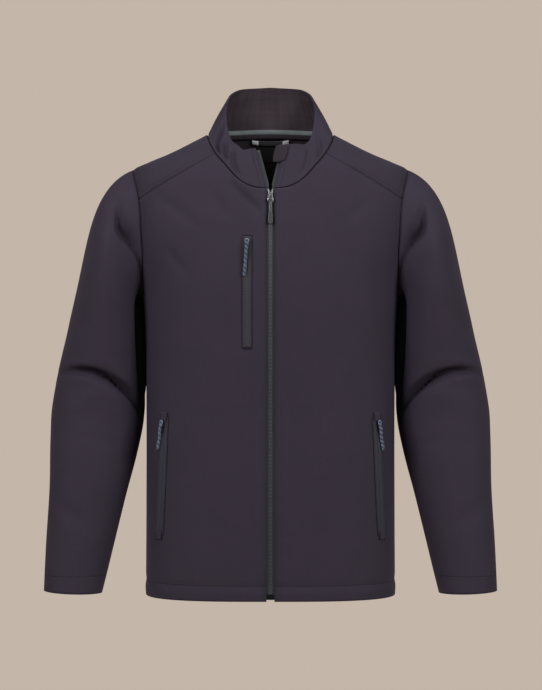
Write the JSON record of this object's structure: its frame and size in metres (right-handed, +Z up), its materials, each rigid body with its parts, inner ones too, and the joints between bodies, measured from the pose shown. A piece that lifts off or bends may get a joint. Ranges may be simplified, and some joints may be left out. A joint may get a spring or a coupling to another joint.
{
  "type": "softshell jacket",
  "caption": "Zipped softshell jacket with a stand collar, long sleeves, a chest pocket and hand pockets, filled out as if worn.",
  "frame": {"origin": "middle of the neck opening, level with the points where the shoulders meet the collar", "axes": "+Z up, -Y the way that the jacket faces, +X towards the wearer's left"},
  "size_m": [0.702, 0.2568, 0.7982],
  "materials": {
    "cloth": "matte, dense woven face",
    "zip": "woven tape with a nylon coil",
    "metal": "satin plated zinc",
    "cord": "twisted polyester",
    "tape": "ribbed tape",
    "label": "satin weave, bare"
  },
  "bodies": {
    "garment": {"front_left": "cloth", "front_right": "cloth", "back": "cloth", "sleeve_left": "cloth", "sleeve_right": "cloth", "collar": "cloth", "chin_guard": "cloth", "hand_left_patch_top": "cloth", "hand_left_patch_low": "cloth", "hand_right_patch_top": "cloth", "hand_right_patch_low": "cloth", "zip_tape_left": "zip", "zip_tape_right": "zip", "zip_chain": "zip", "chest_zip": "zip", "hand_left_zip": "zip", "hand_right_zip": "zip", "zip_slider": "metal", "zip_bottom_box": "metal", "chest_slider": "metal", "hand_left_slider": "metal", "hand_right_slider": "metal", "chest_cord": "cord", "hand_left_cord": "cord", "hand_right_cord": "cord", "neck_tape": "tape", "hanger_loop": "tape", "label": "label"},
    "zip_pull": {"zip_pull": "metal"}
  },
  "joints": [
    {"name": "main_zip_pull", "type": "hinge", "parent": "garment", "child": "zip_pull", "pos_m": [0, -0.11234, -0.09799], "axis": [-1, 0, 0], "range_deg": [0, 150]}
  ]
}
